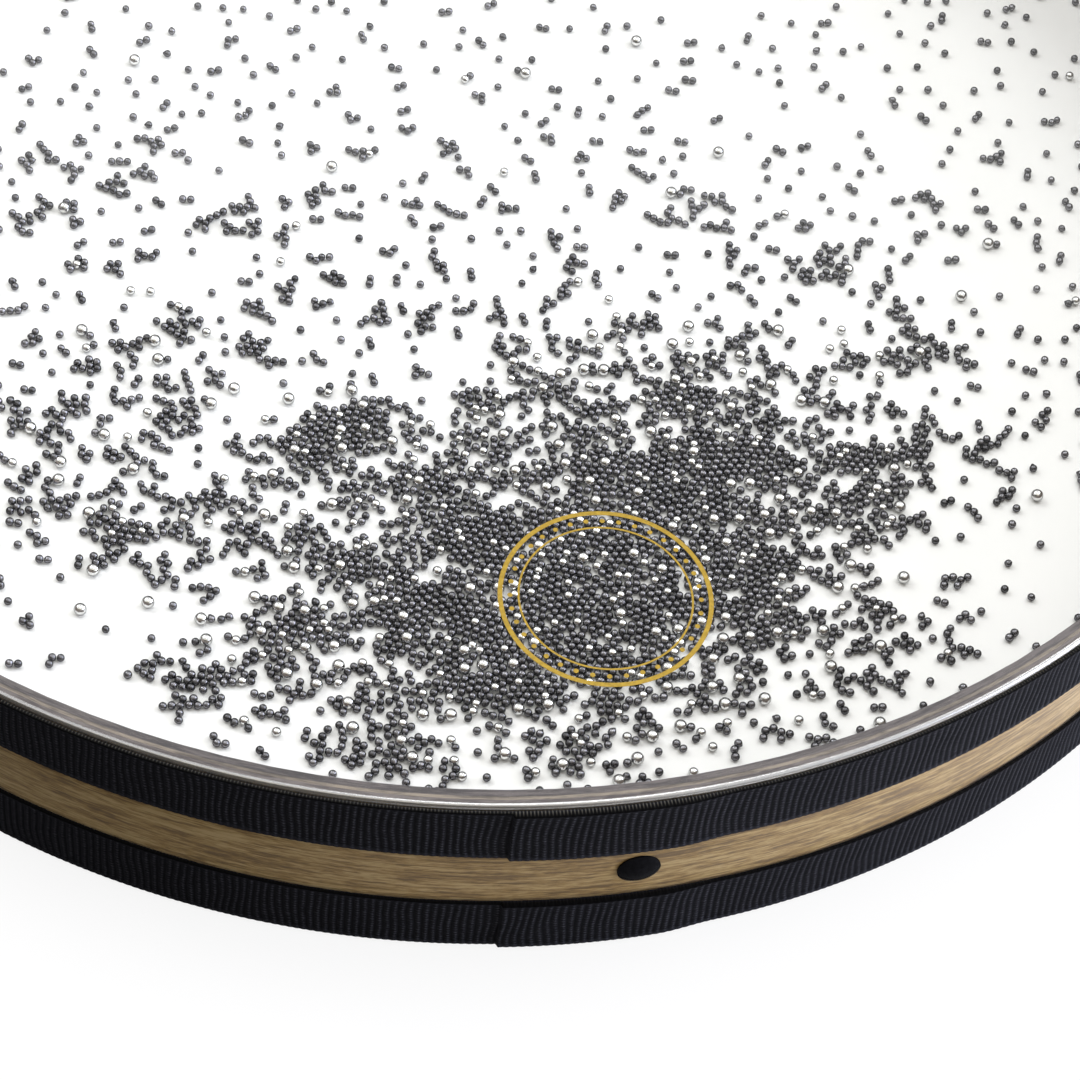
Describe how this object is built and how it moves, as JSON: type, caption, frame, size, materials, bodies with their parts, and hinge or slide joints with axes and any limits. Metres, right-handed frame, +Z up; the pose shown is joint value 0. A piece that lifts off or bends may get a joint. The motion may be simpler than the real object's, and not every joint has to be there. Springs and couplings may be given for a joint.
{
  "type": "ocean drum",
  "caption": "Ocean drum: shallow laminated wooden hoop with a clear and a white film head, black edge ribbons, a fill plug and loose dark and steel shot inside.",
  "frame": {"origin": "centre of the drum's lower face, which is the flat of the white head", "axes": "+Z up along the drum's axis towards the clear head; -Y points out of the fill plug"},
  "size_m": [0.5604, 0.5615, 0.073],
  "materials": {
    "face_wood": "matt oiled wood with a fine grain along the hoop",
    "core_wood": "pale wood, seen only on edge",
    "inner_wood": "grey-brown stained wood",
    "clear_film": "clear glossy polyester film",
    "white_film": "opaque white polyester film, satin",
    "black_ribbon": "black ribbed woven ribbon",
    "black_plastic": "black moulded nylon, semi-gloss",
    "gold_ink": "gold screen ink",
    "bright_steel": "polished steel ball",
    "dark_shot": "dark cast shot, slightly uneven, soft sheen"
  },
  "bodies": {
    "drum": {"outer_ply": "face_wood", "core_ply": "core_wood", "inner_ply": "inner_wood", "clear_head": "clear_film", "white_head": "white_film", "top_ribbon": "black_ribbon", "bottom_ribbon": "black_ribbon", "head_print": "gold_ink"},
    "plug": {"fill_plug": "black_plastic"},
    "lead": {"lead_ball": "bright_steel"},
    "charge": {"dark_shot_1": "dark_shot", "dark_shot_2": "dark_shot", "dark_shot_3": "dark_shot", "dark_shot_4": "dark_shot", "dark_shot_5": "dark_shot", "dark_shot_6": "dark_shot", "dark_shot_7": "dark_shot", "small_steel_1": "bright_steel", "small_steel_2": "bright_steel", "small_steel_3": "bright_steel", "large_steel_1": "bright_steel", "large_steel_2": "bright_steel"},
    "lone_1": {"lone_ball_1": "bright_steel"},
    "lone_2": {"lone_ball_2": "bright_steel"},
    "lone_3": {"lone_ball_3": "bright_steel"},
    "lone_4": {"lone_ball_4": "bright_steel"}
  },
  "joints": [
    {"name": "charge_swirl", "type": "hinge", "parent": "drum", "child": "lead", "pos_m": [0, 0, 0], "axis": [0, 0, 1], "continuous": true},
    {"name": "charge_drop", "type": "slide", "parent": "lead", "child": "charge", "axis": [0, 0, 1], "range_m": [0, 0.0683]},
    {"name": "lone_roll_1", "type": "slide", "parent": "charge", "child": "lone_1", "axis": [0.2588, 0.9659, 0], "range_m": [0, 0.053]},
    {"name": "lone_roll_2", "type": "slide", "parent": "charge", "child": "lone_2", "axis": [0.5736, -0.8192, 0], "range_m": [0, 0.053]},
    {"name": "lone_roll_3", "type": "slide", "parent": "charge", "child": "lone_3", "axis": [-0.9659, 0.2588, 0], "range_m": [0, 0.048]},
    {"name": "lone_roll_4", "type": "slide", "parent": "charge", "child": "lone_4", "axis": [0.9397, 0.342, 0], "range_m": [0, 0.064]},
    {"name": "plug_pull", "type": "slide", "parent": "drum", "child": "plug", "axis": [0, -1, 0], "range_m": [0, 0.009]}
  ]
}
